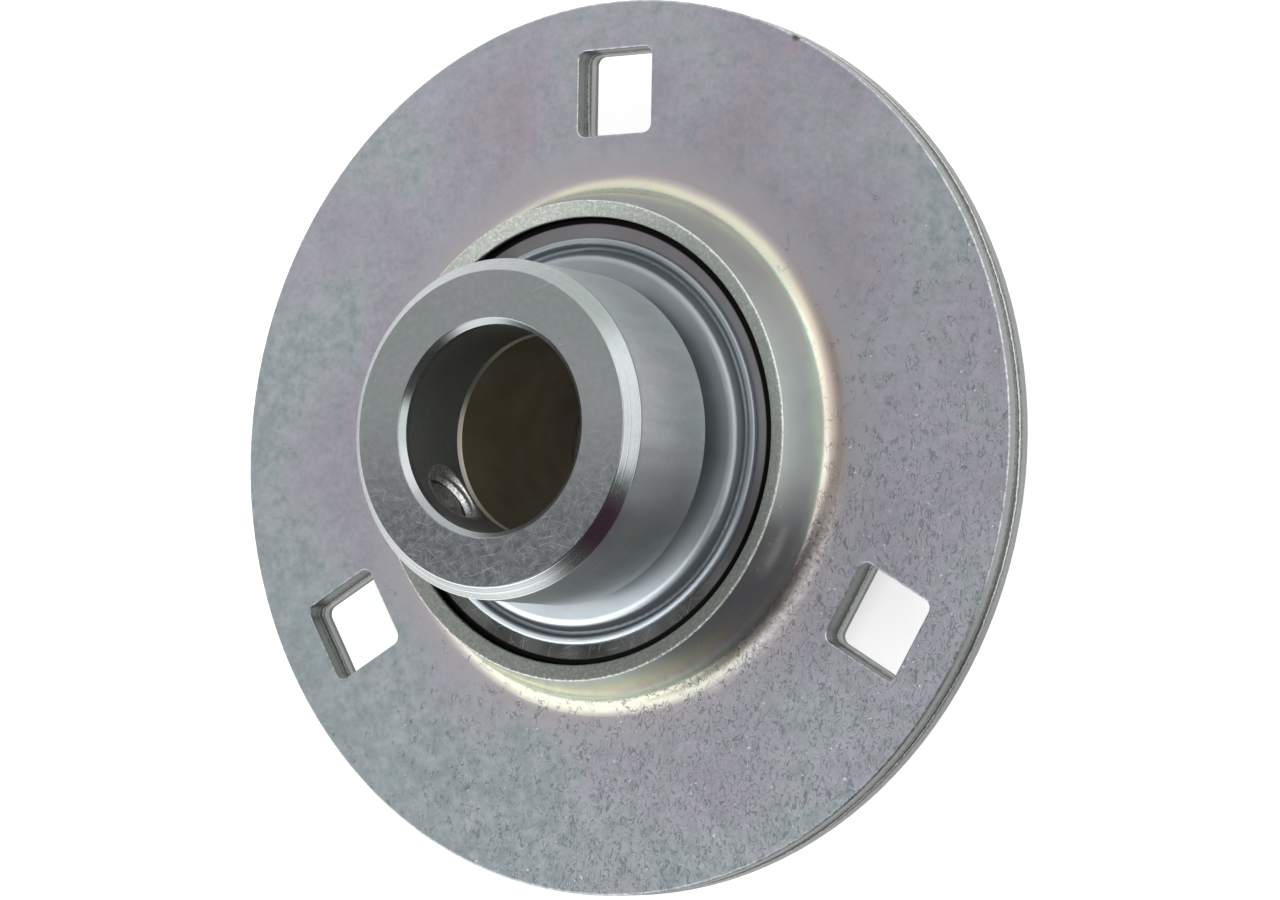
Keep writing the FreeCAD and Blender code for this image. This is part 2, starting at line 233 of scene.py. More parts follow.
def worm_marks(tree, at):
    """Short dark worm marks, and how thick they lie. They crowd at the lower right and fade to the upper left."""
    drawn_out = add(tree, "Mapping", {"Vector": at.mm, "Scale": (1.8, 1.05, 1.6)})
    lined = add(tree, "TexNoise", {"Vector": drawn_out, "Scale": 1.0, "Detail": 0.5, "Distortion": 1.1})
    centred = add(tree, "Math", {0: lined, 1: 0.5}, operation="SUBTRACT")
    contour = add(tree, "Math", {0: centred}, operation="ABSOLUTE")
    line = add(tree, "MapRange", {
        "Value": contour, "From Min": 0.015, "From Max": 0.05, "To Min": 1.0, "To Max": 0.0})
    broken = add(tree, "TexNoise", {"Vector": at.mm, "Scale": 0.8, "Detail": 1.0})
    spread = add(tree, "MapRange", {
        "Value": at.upper_left, "From Min": -32.0, "From Max": 12.0, "To Min": 0.12, "To Max": -0.32})
    where = add(tree, "Math", {0: broken, 1: spread}, operation="ADD")
    crowd = add(tree, "MapRange", {"Value": where, "From Min": 0.42, "From Max": 0.54, "To Max": 0.8})
    worms = add(tree, "Math", {0: line, 1: crowd}, operation="MULTIPLY")
    flat_only = between(tree, at.above, SHEET - 0.3, SHEET + 0.9, 0.2)
    return add(tree, "Math", {0: worms, 1: flat_only}, operation="MULTIPLY"), crowd


def hub_film_and_painted_light(tree, at, looks, shade, grain):
    """The film round the hub: bands on the bend by their distance from the axis and streaks on the wall, with a
    painted dark reflection and a painted highlight.
    """
    drift = add(tree, "TexNoise", {"Vector": at.mm, "Scale": DRIFTS, "Detail": 1.0})
    moved = add(tree, "MapRange", {
        "Value": drift, "From Min": 0.3, "From Max": 0.7, "To Min": -0.25, "To Max": 0.25})
    place = add(tree, "Math", {0: at.radius, 1: moved}, operation="ADD")
    share = add(tree, "MapRange", {"Value": place, "From Min": HUB_BANDS[0], "From Max": HUB_BANDS[1]})
    bands = add(tree, "ValToRGB", {0: share}, stops=[
        (0.15, tuple(looks.wall_film)), (1.0, tuple(looks.grey_film)),
        (0.18, tuple(looks.green_band)), (0.20, tuple(looks.straw_band)), (0.235, tuple(looks.straw_band)),
        (0.28, linear("#d0cab4")), (0.35, tuple(looks.rose_band)), (0.47, linear("#aea9ad"))])
    blushed = add(tree, "TexNoise", {"Vector": at.mm, "Scale": BLUSHES, "Detail": 2.0})
    blush = add(tree, "MapRange", {"Value": blushed, "From Min": 0.5, "From Max": 0.68, "To Max": 0.5})
    bands = add(tree, "Mix", {"Factor": blush, "A": bands, "B": tuple(looks.rose_band)}, data_type="RGBA")
    near_hub = add(tree, "MapRange", {"Value": at.radius, "From Min": FLAT[0], "From Max": 27.5})
    coloured = add(tree, "Mix", {"Factor": near_hub, "A": shade, "B": bands}, data_type="RGBA")
    # Yellow and mint streaks run round the lower part of the hub's wall.
    streak = add(tree, "MapRange", {"Value": at.above, "From Min": WALL_STREAKS[0], "From Max": WALL_STREAKS[1]})
    streaks = add(tree, "ValToRGB", {0: streak}, stops=[
        (0.0, linear("#b8ecd2")), (1.0, linear("#d6e2cc")), (0.3, linear("#dcc6d3")), (0.62, linear("#f2f3b0"))])
    low_wall = add(tree, "MapRange", {"Value": at.y, "From Min": -16.0, "From Max": -22.0, "To Max": 0.9})
    on_wall = add(tree, "MapRange", {"Value": at.radius, "From Min": HUB_WALL + 0.5, "From Max": HUB_WALL})
    low_wall = add(tree, "Math", {0: low_wall, 1: on_wall}, operation="MULTIPLY")
    coloured = add(tree, "Mix", {"Factor": low_wall, "A": coloured, "B": streaks}, data_type="RGBA")
    # On the right the bend is rosy.
    rosy = on_side(tree, at, RIGHT_SIDE, 0.7, 0.95, 0.75)
    rosy_bend = between(tree, place, *ROSY_BEND, 0.25)
    rosy = add(tree, "Math", {0: rosy, 1: rosy_bend}, operation="MULTIPLY")
    coloured = add(tree, "Mix", {"Factor": rosy, "A": coloured, "B": linear("#a3918b")}, data_type="RGBA")
    # At the lower right a violet-tinged dark reflection is painted on the wall and the bend, and the bend is frosted
    # outside it.
    lower_right = on_side(tree, at, DARK_REFLECTION_SIDE, 0.82, 0.96, 0.58)
    inside = add(tree, "MapRange", {
        "Value": place, "From Min": DARK_REFLECTION_END + 0.3, "From Max": DARK_REFLECTION_END - 0.3})
    painted_dark_reflection = add(tree, "Math", {0: lower_right, 1: inside}, operation="MULTIPLY")
    coloured = add(tree, "Mix", {"Factor": painted_dark_reflection, "A": coloured, "B": linear("#7a6f7c")}, data_type="RGBA")
    frosted = between(tree, place, *FROSTED_BEND, 0.3)
    frost_grain = add(tree, "MapRange", {"Value": grain, "From Min": 0.36, "From Max": 0.58})
    frosted = add(tree, "Math", {0: frosted, 1: frost_grain}, operation="MULTIPLY")
    frosted = add(tree, "Math", {0: frosted, 1: lower_right}, operation="MULTIPLY")
    coloured = add(tree, "Mix", {"Factor": frosted, "A": coloured, "B": linear("#e2e2e2")}, data_type="RGBA")
    # A cream highlight is painted on the bend below the hub, and a little at the upper right.
    painted_highlight = between(tree, place, *HIGHLIGHT_BEND, 0.3)
    below = add(tree, "MapRange", {"Value": at.y, "From Min": -19.0, "From Max": -25.0, "To Max": 0.45})
    upper_right = on_side(tree, at, HIGHLIGHT_SIDE, 0.8, 0.98, 0.1)
    where = add(tree, "Math", {0: below, 1: upper_right}, operation="MAXIMUM")
    painted_highlight = add(tree, "Math", {0: painted_highlight, 1: where}, operation="MULTIPLY")
    return add(tree, "Mix", {"Factor": painted_highlight, "A": coloured, "B": linear("#e3e8cf")}, data_type="RGBA")


def cut_edges(tree, at, torn, tears):
    """Colour of the sheared edges: a burnished band below the rolled edge, then torn metal down to the seam."""
    torn_shade = add(tree, "ValToRGB", {0: tears}, stops=[(0.38, linear("#3e403e")), (0.64, linear("#868985"))])
    burnished = add(tree, "MapRange", {
        "Value": tears, "From Min": 0.3, "From Max": 0.7, "To Min": 0.9, "To Max": 1.08})
    smooth_shade = add(tree, "VectorMath", {0: linear("#8b8e8c")[:3], "Scale": burnished}, operation="SCALE")
    shade = add(tree, "Mix", {"Factor": torn, "A": smooth_shade, "B": torn_shade}, data_type="RGBA")
    # The seam gapes in places, and the rear plate's edge has a bright burr beside it.
    stretch = add(tree, "TexNoise", {"Vector": at.mm, "Scale": STRETCHES, "Detail": 1.0})
    seam_width = add(tree, "MapRange", {
        "Value": stretch, "From Min": 0.38, "From Max": 0.62, "To Min": -0.05, "To Max": 0.25})
    from_seam = add(tree, "Math", {0: at.above, 1: seam_width}, operation="SUBTRACT")
    ragged = add(tree, "Math", {0: tears, 1: 0.5, 2: from_seam}, operation="MULTIPLY_ADD")
    gap = add(tree, "MapRange", {"Value": ragged, "From Min": 0.36, "From Max": 0.26})
    shade = add(tree, "Mix", {"Factor": gap, "A": shade, "B": linear("#454744")}, data_type="RGBA")
    rear_side = add(tree, "MapRange", {"Value": at.up, "From Min": 0.02, "From Max": -0.02})
    burr = between(tree, ragged, 0.38, 0.52, 0.04)
    burr = add(tree, "Math", {0: burr, 1: rear_side}, operation="MULTIPLY")
    shade = add(tree, "Mix", {"Factor": burr, "A": shade, "B": linear("#d5d8d4")}, data_type="RGBA")
    # The punched holes' walls are duller, with a paler stripe where the punch rubbed the rear plate.
    punched = add(tree, "Mix", {"Factor": 0.45, "A": shade, "B": linear("#4c4f4a")}, data_type="RGBA")
    stripe = between(tree, at.up, *PUNCH_STRIPE, 0.15)
    punched = add(tree, "Mix", {"Factor": stripe, "A": punched, "B": linear("#a0a39e")}, data_type="RGBA")
    in_hole = add(tree, "MapRange", {
        "Value": at.radius, "From Min": HOLES_WITHIN + 0.2, "From Max": HOLES_WITHIN - 0.2})
    return add(tree, "Mix", {"Factor": in_hole, "A": shade, "B": punched}, data_type="RGBA")


def hub_lip(tree, at):
    """Colour of the hub's sheared end: rough with pale scuffs, painted paler towards the top, a bright fray outside
    and painted black shade in the crevice inside.
    """
    grain = add(tree, "TexNoise", {
        "Vector": at.mm, "Scale": 3.2, "Detail": 5.0, "Roughness": 0.8, "Distortion": 0.6})
    shade = add(tree, "ValToRGB", {0: grain}, stops=[
        (0.28, linear("#868a85")), (0.76, linear("#d0d4ce")), (0.52, linear("#9ea29c"))])
    # Light is painted on the end: darker towards the bottom and paler towards the top.
    lean = add(tree, "MapRange", {
        "Value": at.y, "From Min": -22.0, "From Max": 22.0, "To Min": 0.82, "To Max": 1.4})
    shade = add(tree, "VectorMath", {0: shade, "Scale": lean}, operation="SCALE")
    ragged = add(tree, "Math", {0: grain, 1: 0.9, 2: at.radius}, operation="MULTIPLY_ADD")
    fray = add(tree, "MapRange", {"Value": ragged, "From Min": LIP_OUTSIDE + 0.2, "From Max": LIP_OUTSIDE + 0.32})
    shade = add(tree, "Mix", {"Factor": fray, "A": shade, "B": linear("#e2e6e0")}, data_type="RGBA")
    # Painted shade: black along the crevice at the inner edge.
    painted_crevice_shade = add(tree, "MapRange", {"Value": ragged, "From Min": LIP_INSIDE + 0.72, "From Max": LIP_INSIDE + 0.58})
    return add(tree, "Mix", {"Factor": painted_crevice_shade, "A": shade, "B": linear("#1b1a18")}, data_type="RGBA")


def passivated_plate(looks):
    """Zinc plated and passivated sheet steel: grey with faint lilac and green patches, and short dark worm marks.

    The film thins where the sheet was drawn, so the foot of the hub shows straw, green and rose bands."""
    material, tree, mm = begin("passivated_zinc_sheet")
    at = around_axis(tree, mm)
    # Height over the seam, with its sign and without it, and the distance towards the upper left.
    at.up = add(tree, "Math", {0: at.height, 1: SEAM}, operation="SUBTRACT")
    at.above = add(tree, "Math", {0: at.up}, operation="ABSOLUTE")
    at.upper_left = add(tree, "VectorMath", {0: mm, 1: UPPER_LEFT}, operation="DOT_PRODUCT")
    grain = add(tree, "TexNoise", {"Vector": mm, "Scale": GRAINS, "Detail": 4.0, "Roughness": 0.75})
    shade = flat_film(tree, at, looks, grain)
    coloured = hub_film_and_painted_light(tree, at, looks, shade, grain)
    worms, crowd = worm_marks(tree, at)
    coloured = add(tree, "Mix", {"Factor": worms, "A": coloured, "B": tuple(looks.worm_mark)}, data_type="RGBA")
    specks = add(tree, "TexNoise", {"Vector": mm, "Scale": FLECKS, "Detail": 1.0})
    fleck = add(tree, "MapRange", {"Value": specks, "From Min": 0.74, "From Max": 0.78})
    fleck = add(tree, "Math", {0: fleck, 1: crowd}, operation="MULTIPLY")
    coloured = add(tree, "Mix", {"Factor": fleck, "A": coloured, "B": linear("#e3e6e6")}, data_type="RGBA")
    # Glints are painted in places on the rubbed, burred rolled edges of rim and holes.
    rolled = between(tree, at.above, SHEET - 0.2, SHEET - 0.02, 0.02)
    spots = add(tree, "MapRange", {"Value": grain, "From Min": 0.48, "From Max": 0.58, "To Max": 0.5})
    spots = add(tree, "Math", {0: spots, 1: rolled}, operation="MULTIPLY")
    coloured = add(tree, "Mix", {"Factor": spots, "A": coloured, "B": linear("#e0e3e1")}, data_type="RGBA")
    # Cut edges are the upright faces below the rolled edge.
    facing = add(tree, "TexCoord")
    normal = add(tree, "SeparateXYZ", {0: facing.outputs["Normal"]})
    slope = add(tree, "Math", {0: normal.outputs["Z"]}, operation="ABSOLUTE")
    upright = add(tree, "MapRange", {"Value": slope, "From Min": 0.5, "From Max": 0.2})
    low = add(tree, "MapRange", {"Value": at.above, "From Min": SHEET, "From Max": SHEET - 0.1})
    sheared = add(tree, "Math", {0: upright, 1: low}, operation="MULTIPLY")
    torn = add(tree, "MapRange", {"Value": at.above, "From Min": TORN_TOP, "From Max": TORN_TOP - 0.35})
    tears = add(tree, "TexNoise", {"Vector": mm, "Scale": TEARS, "Detail": 4.0, "Roughness": 0.75})
    cut_shade = cut_edges(tree, at, torn, tears)
    colour = add(tree, "Mix", {"Factor": sheared, "A": coloured, "B": cut_shade}, data_type="RGBA")
    # One small dark nick in the rim at the upper right.
    from_nick = add(tree, "VectorMath", {0: mm, 1: RIM_NICK}, operation="DISTANCE")
    nick = add(tree, "MapRange", {"Value": from_nick, "From Min": 0.7, "From Max": 0.3})
    colour = add(tree, "Mix", {"Factor": nick, "A": colour, "B": linear("#4a4b48")}, data_type="RGBA")
    # The end of the hub is sheared too.
    top = add(tree, "MapRange", {"Value": at.above, "From Min": LIP_FOOT - 0.1, "From Max": LIP_FOOT + 0.1})
    facing_up = add(tree, "MapRange", {"Value": slope, "From Min": 0.45, "From Max": 0.7})
    lip = add(tree, "Math", {0: top, 1: facing_up}, operation="MULTIPLY")
    lip_shade = hub_lip(tree, at)
    colour = add(tree, "Mix", {"Factor": lip, "A": colour, "B": lip_shade}, data_type="RGBA")
    # The drawn wall is smoother than the flat, and the sheared end is rough.
    drawn = add(tree, "MapRange", {"Value": at.radius, "From Min": HUB_WALL + 1.5, "From Max": HUB_WALL + 0.3})
    satin = add(tree, "MapRange", {
        "Value": grain, "From Min": 0.3, "From Max": 0.7, "To Min": 0.36, "To Max": 0.46})
    smooth = add(tree, "Mix", {"Factor": drawn, "A": satin, "B": 0.22}, data_type="FLOAT")
    rough = add(tree, "Mix", {"Factor": lip, "A": smooth, "B": 0.5}, data_type="FLOAT")
    relief = add(tree, "Math", {0: grain, 1: worms}, operation="SUBTRACT")
    torn_relief = add(tree, "Math", {0: torn, 1: sheared}, operation="MULTIPLY")
    torn_relief = add(tree, "Math", {0: torn_relief, 1: lip}, operation="MAXIMUM")
    torn_relief = add(tree, "Math", {0: torn_relief, 1: tears}, operation="MULTIPLY")
    relief = add(tree, "Math", {0: torn_relief, 1: 4.0, 2: relief}, operation="MULTIPLY_ADD")
    bump = add(tree, "Bump", {"Height": relief, "Strength": 1.0, "Distance": 0.012 * MM})
    return end(material, tree, {"Base Color": colour, "Metallic": 0.85, "Roughness": rough, "Normal": bump})


def ground_steel(looks):
    """Ground bearing steel without plating: darker and bluer than the zinc, with fine rings and a few scratches."""
    material, tree, mm = begin("ground_bearing_steel")
    at = around_axis(tree, mm)
    cloud = add(tree, "TexNoise", {"Vector": mm, "Scale": CLOUDS, "Detail": 2.0})
    colour = add(tree, "ValToRGB", {0: cloud}, stops=[
        (0.35, linear("#3f403f")), (0.65, tuple(looks.ring_steel))])
    # Its upper right has fewer scratches, and a paler violet reflection is painted there.
    lighter = on_side(tree, at, CLEAN_AND_REFLECTION_SIDE, -0.2, 0.55, 0.75)
    colour = add(tree, "Mix", {"Factor": lighter, "A": colour, "B": linear("#8f8c8f")}, data_type="RGBA")
    marks = scratches(tree, mm, length=4.0, spacing=0.1, turns=(12, 75, 131), share=0.31)
    bare = add(tree, "Math", {0: 1.0, 1: lighter}, operation="SUBTRACT")
    marks = add(tree, "Math", {0: marks, 1: bare}, operation="MULTIPLY")
    colour = add(tree, "Mix", {"Factor": marks, "A": colour, "B": linear("#8d8f92")}, data_type="RGBA")
    # A black shade is painted on the ring in the crevice beside the hub's lip, wider on the right.
    wider = add(tree, "MapRange", {"Value": at.x, "From Min": 2.0, "From Max": 20.0, "To Max": 0.38})
    painted_crevice_shade = add(tree, "Math", {0: at.radius, 1: wider}, operation="ADD")
    painted_crevice_shade = add(tree, "MapRange", {"Value": painted_crevice_shade, "From Min": RING_FACE - 0.85, "From Max": RING_FACE - 0.7})
    colour = add(tree, "Mix", {"Factor": painted_crevice_shade, "A": colour, "B": linear("#151413")}, data_type="RGBA")
    rings = turned_lines(tree, at.radius, RING_LINES)
    rough = add(tree, "MapRange", {
        "Value": rings, "From Min": 0.3, "From Max": 0.7, "To Min": 0.28, "To Max": 0.38})
    bump = add(tree, "Bump", {"Height": rings, "Strength": 1.0, "Distance": 0.003 * MM})
    return end(material, tree, {"Base Color": colour, "Metallic": 1.0, "Roughness": rough, "Normal": bump})


def oiled_steel(looks):
    """Honed inner ring with a film of preservative oil: dark olive brown inside the bore."""
    material, tree, mm = begin("oiled_honed_steel")
    at = around_axis(tree, mm)
    inside = add(tree, "MapRange", {
        "Value": at.radius, "From Min": SHAFT_RADIUS + 0.12, "From Max": SHAFT_RADIUS + 0.04})
    cloud = add(tree, "TexNoise", {"Vector": mm, "Scale": CLOUDS, "Detail": 2.0})
    oil = add(tree, "ValToRGB", {0: cloud}, stops=[(0.3, tuple(looks.oil_film)), (0.7, linear("#a69e87"))])
    colour = add(tree, "Mix", {"Factor": inside, "A": linear("#96928d"), "B": oil}, data_type="RGBA")
    honed = turned_lines(tree, at.height, HONED_LINES)
    rough = add(tree, "MapRange", {"Value": honed, "From Min": 0.3, "From Max": 0.7, "To Min": 0.3, "To Max": 0.42})
    bump = add(tree, "Bump", {"Height": honed, "Strength": 1.0, "Distance": 0.003 * MM})
    return end(material, tree, {"Base Color": colour, "Metallic": 0.8, "Roughness": rough, "Normal": bump})


def seal_sheet(looks):
    """Stamped cover washer in bright zinc: smooth, pale and bluish, with a brighter folded rim."""
    material, tree, mm = begin("bright_zinc_stamping")
    at = around_axis(tree, mm)
    cloud = add(tree, "TexNoise", {"Vector": mm, "Scale": COVER_CLOUDS, "Detail": 3.0})
    colour = add(tree, "ValToRGB", {0: cloud}, stops=[
        (0.32, tuple(looks.cover_zinc)), (0.70, linear("#d2dadf"))])
    # Light is painted on the cover: paler along the lower edge, darker above it.
    lighter = add(tree, "MapRange", {
        "Value": at.y, "From Min": -2.0, "From Max": -16.0, "To Min": 0.57, "To Max": 1.3})
    colour = add(tree, "VectorMath", {0: colour, "Scale": lighter}, operation="SCALE")
    # The channel inside the rim is darker: grease, and painted shade.
    channel = between(tree, at.radius, COVER_RIM - 1.2, COVER_RIM - 0.05, 0.12)
    colour = add(tree, "Mix", {"Factor": channel, "A": colour, "B": linear("#888d93")}, data_type="RGBA")
    orange_peel = add(tree, "TexNoise", {"Vector": mm, "Scale": 1.4, "Detail": 2.0})
    rough = add(tree, "MapRange", {
        "Value": cloud, "From Min": 0.3, "From Max": 0.7, "To Min": 0.41, "To Max": 0.48})
    bump = add(tree, "Bump", {"Height": orange_peel, "Strength": 1.0, "Distance": 0.006 * MM})
    return end(material, tree, {"Base Color": colour, "Metallic": 0.85, "Roughness": rough, "Normal": bump})


def tap_breakout(tree, at, colour):
    """The bright speckled rim where the tap broke through into the bore."""
    drilled = add(tree, "VectorMath", {0: at.mm, 1: (0, 0, SCREW_CENTRE.z)}, operation="SUBTRACT")
    off_axis = add(tree, "VectorMath", {0: drilled, 1: SCREW_AXIS}, operation="CROSS_PRODUCT")
    off_axis = add(tree, "VectorMath", {0: off_axis}, operation="LENGTH")
    tapped = between(tree, off_axis, *TAP_RIM, 0.08)
    near_bore = add(tree, "MapRange", {
        "Value": at.radius, "From Min": SHAFT_RADIUS + 2.2, "From Max": SHAFT_RADIUS + 1.6})
    tapped = add(tree, "Math", {0: tapped, 1: near_bore}, operation="MULTIPLY")
    crumbs = add(tree, "TexNoise", {"Vector": at.mm, "Scale": 4.5, "Detail": 3.0, "Roughness": 0.8})
    crumbled = add(tree, "ValToRGB", {0: crumbs}, stops=[(0.38, linear("#8a8b87")), (0.6, linear("#f0f1ee"))])
    return add(tree, "Mix", {"Factor": tapped, "A": colour, "B": crumbled}, data_type="RGBA")


def worn_face(tree, at, on_face, colour):
    """The collar's face: worn and darker in its lower half, with many fine scratches and a few long ones."""
    lower = add(tree, "MapRange", {"Value": at.y, "From Min": 2.0, "From Max": -9.0})
    worn = add(tree, "Math", {0: lower, 1: on_face}, operation="MULTIPLY")
    spots = add(tree, "TexNoise", {"Vector": at.mm, "Scale": 1.1, "Detail": 4.0, "Roughness": 0.7})
    worn_shade = add(tree, "ValToRGB", {0: spots}, stops=[(0.36, linear("#696d70")), (0.64, linear("#8a8e91"))])
    colour = add(tree, "Mix", {"Factor": worn, "A": colour, "B": worn_shade}, data_type="RGBA")
    many = scratches(tree, at.mm, length=3.2, spacing=0.08, turns=(8, 37, 64, 102, 139, 166), share=0.315)
    few = scratches(tree, at.mm, length=6.0, spacing=0.12, turns=(20, 118), share=0.24)
    shown = add(tree, "Math", {0: many, 1: lower}, operation="MULTIPLY")
    shown = add(tree, "Math", {0: shown, 1: few}, operation="MAXIMUM")
    shown = add(tree, "Math", {0: shown, 1: on_face}, operation="MULTIPLY")
    shown = add(tree, "Math", {0: shown, 1: 0.55}, operation="MULTIPLY")
    return add(tree, "Mix", {"Factor": shown, "A": colour, "B": linear("#d2d4d3")}, data_type="RGBA")


def turned_collar(looks):
    """Turned steel, zinc plated: satin, with the tool's rings on the chamfers and side, and scratches on the face."""
    material, tree, mm = begin("turned_zinc_steel")
    at = around_axis(tree, mm)
    cloud = add(tree, "TexNoise", {"Vector": mm, "Scale": COLLAR_CLOUDS, "Detail": 2.5})
    colour = add(tree, "ValToRGB", {0: cloud}, stops=[
        (0.32, tuple(looks.collar_green)), (0.68, tuple(looks.collar_grey))])
    colour = tap_breakout(tree, at, colour)
    grain = add(tree, "TexNoise", {"Vector": mm, "Scale": 1.5, "Detail": 3.0, "Roughness": 0.6})
    grained = add(tree, "MapRange", {
        "Value": grain, "From Min": 0.3, "From Max": 0.7, "To Min": 0.95, "To Max": 1.04})
    colour = add(tree, "VectorMath", {0: colour, "Scale": grained}, operation="SCALE")
    on_face = add(tree, "MapRange", {
        "Value": at.height, "From Min": COLLAR_FACE - 0.1, "From Max": COLLAR_FACE - 0.02})
    colour = worn_face(tree, at, on_face, colour)
    # Light is painted on the side: it is paler at the upper right, with soft streaks along the axis.
    below_chamfer = COLLAR_FACE - COLLAR_CHAMFER
    side = add(tree, "MapRange", {
        "Value": at.height, "From Min": below_chamfer + 0.05, "From Max": below_chamfer - 0.25})
    brushed = add(tree, "Mapping", {"Vector": mm, "Scale": (0.7, 0.7, 0.15)})
    streaks = add(tree, "TexNoise", {"Vector": brushed, "Scale": 1.0, "Detail": 3.0})
    streaked = add(tree, "MapRange", {
        "Value": streaks, "From Min": 0.3, "From Max": 0.7, "To Min": 0.93, "To Max": 1.08})
    upper = add(tree, "MapRange", {
        "Value": at.y, "From Min": -8.0, "From Max": -1.0, "To Min": 0.87, "To Max": 1.68})
    upper = add(tree, "Math", {0: upper, 1: streaked}, operation="MULTIPLY")
    outside = add(tree, "MapRange", {"Value": at.radius, "From Min": 13.0, "From Max": 15.5})
    outer_side = add(tree, "Math", {0: outside, 1: side}, operation="MULTIPLY")
    paler = add(tree, "Mix", {"Factor": outer_side, "A": 1.0, "B": upper}, data_type="FLOAT")
    colour = add(tree, "VectorMath", {0: colour, "Scale": paler}, operation="SCALE")
    # The tool's lines are deepest on the chamfers, and the face has none.
    steps = add(tree, "Math", {0: at.radius, 1: at.height}, operation="SUBTRACT")
    feed = turned_lines(tree, steps, TURNED_LINES)
    chamfered = add(tree, "MapRange", {
        "Value": at.height, "From Min": below_chamfer - 0.35, "From Max": below_chamfer - 0.05,
        "To Min": 0.25, "To Max": 1.0})
    off_face = add(tree, "Math", {0: chamfered, 1: on_face}, operation="SUBTRACT", use_clamp=True)
    ridges = add(tree, "Math", {0: feed, 1: off_face}, operation="MULTIPLY")
    relief = add(tree, "Math", {0: grain, 1: 0.05, 2: ridges}, operation="MULTIPLY_ADD")
    bump = add(tree, "Bump", {"Height": relief, "Strength": 1.0, "Distance": 0.025 * MM})
    # They catch the light along the lower edge of the outer chamfer and round the bore's mouth.
    crests = add(tree, "MapRange", {"Value": feed, "From Min": 0.52, "From Max": 0.66})
    low_edge = add(tree, "MapRange", {"Value": at.y, "From Min": -9.0, "From Max": -13.0})
    mouth = between(tree, at.radius, *BORE_MOUTH, 0.05)
    lit = add(tree, "Math", {0: low_edge, 1: mouth}, operation="MAXIMUM")
    lit = add(tree, "Math", {0: lit, 1: crests}, operation="MULTIPLY")
    lit = add(tree, "Math", {0: lit, 1: off_face}, operation="MULTIPLY")
    colour = add(tree, "Mix", {"Factor": lit, "A": colour, "B": linear("#e6e8e6")}, data_type="RGBA")
    # A violet stain of the film lies on the outer chamfer at the lower right.
    from_stain = add(tree, "VectorMath", {0: mm, 1: CHAMFER_STAIN}, operation="DISTANCE")
    stain = add(tree, "MapRange", {"Value": from_stain, "From Min": 4.2, "From Max": 1.6})
    stain = add(tree, "Math", {0: stain, 1: off_face}, operation="MULTIPLY")
    colour = add(tree, "Mix", {"Factor": stain, "A": colour, "B": linear("#8f6d83")}, data_type="RGBA")
    satin = add(tree, "MapRange", {"Value": grain, "From Min": 0.3, "From Max": 0.7, "To Min": 0.2, "To Max": 0.24})
    rough = add(tree, "Mix", {"Factor": side, "A": satin, "B": 0.38}, data_type="FLOAT")
    haze = add(tree, "MapRange", {"Value": outer_side, "To Min": 0.92, "To Max": 0.8})
    return end(material, tree, {"Base Color": colour, "Metallic": haze, "Roughness": rough, "Normal": bump})


def hardened_screw(looks):
    """Hardened steel with a phosphate finish: dull and dark, with worn crests."""
    material, tree, mm = begin("phosphated_screw_steel")
    grain = add(tree, "TexNoise", {"Vector": mm, "Scale": 3.0, "Detail": 4.0})
    colour = add(tree, "ValToRGB", {0: grain}, stops=[(0.3, tuple(looks.screw_steel)), (0.75, linear("#cfcfcc"))])
    rough = add(tree, "MapRange", {
        "Value": grain, "From Min": 0.3, "From Max": 0.7, "To Min": 0.38, "To Max": 0.52})
    bump = add(tree, "Bump", {"Height": grain, "Strength": 1.0, "Distance": 0.01 * MM})
    return end(material, tree, {"Base Color": colour, "Metallic": 1.0, "Roughness": rough, "Normal": bump})


def polished_balls(looks):
    """Lapped bearing balls under a trace of grease: nearly a mirror."""
    material, tree, mm = begin("lapped_ball_steel")
    smear = add(tree, "TexNoise", {"Vector": mm, "Scale": 0.5, "Detail": 3.0})
    colour = add(tree, "ValToRGB", {0: smear}, stops=[(0.35, tuple(looks.ball_steel)), (0.7, linear("#b8b5a8"))])
    rough = add(tree, "MapRange", {
        "Value": smear, "From Min": 0.4, "From Max": 0.7, "To Min": 0.06, "To Max": 0.2})
    return end(material, tree, {"Base Color": colour, "Metallic": 1.0, "Roughness": rough})


def nylon_cage(looks):
    """Moulded natural nylon: cream, a little translucent, with a fine moulded grain."""
    material, tree, mm = begin("moulded_natural_nylon")
    grain = add(tree, "TexNoise", {"Vector": mm, "Scale": 1.6, "Detail": 3.0})
    colour = add(tree, "ValToRGB", {0: grain}, stops=[(0.3, tuple(looks.cage_nylon)), (0.7, linear("#e9e2c8"))])
    rough = add(tree, "MapRange", {
        "Value": grain, "From Min": 0.3, "From Max": 0.7, "To Min": 0.42, "To Max": 0.55})
    bump = add(tree, "Bump", {"Height": grain, "Strength": 1.0, "Distance": 0.01 * MM})
    return end(material, tree, {
        "Base Color": colour, "Roughness": rough, "Normal": bump, "IOR": 1.53,
        "Subsurface Weight": 0.15, "Subsurface Radius": (1.0 * MM, 0.8 * MM, 0.5 * MM)})


def nitrile_rubber(looks):
    """Moulded black nitrile rubber with a film of grease: dull with a soft sheen."""
    material, tree, mm = begin("moulded_nitrile_rubber")
    grain = add(tree, "TexNoise", {"Vector": mm, "Scale": 2.5, "Detail": 3.0})
    colour = add(tree, "ValToRGB", {0: grain}, stops=[(0.3, tuple(looks.lip_rubber)), (0.7, linear("#2b2b2c"))])
    rough = add(tree, "MapRange", {"Value": grain, "From Min": 0.3, "From Max": 0.7, "To Min": 0.5, "To Max": 0.65})
    bump = add(tree, "Bump", {"Height": grain, "Strength": 1.0, "Distance": 0.01 * MM})
    return end(material, tree, {"Base Color": colour, "Roughness": rough, "Normal": bump, "IOR": 1.52})


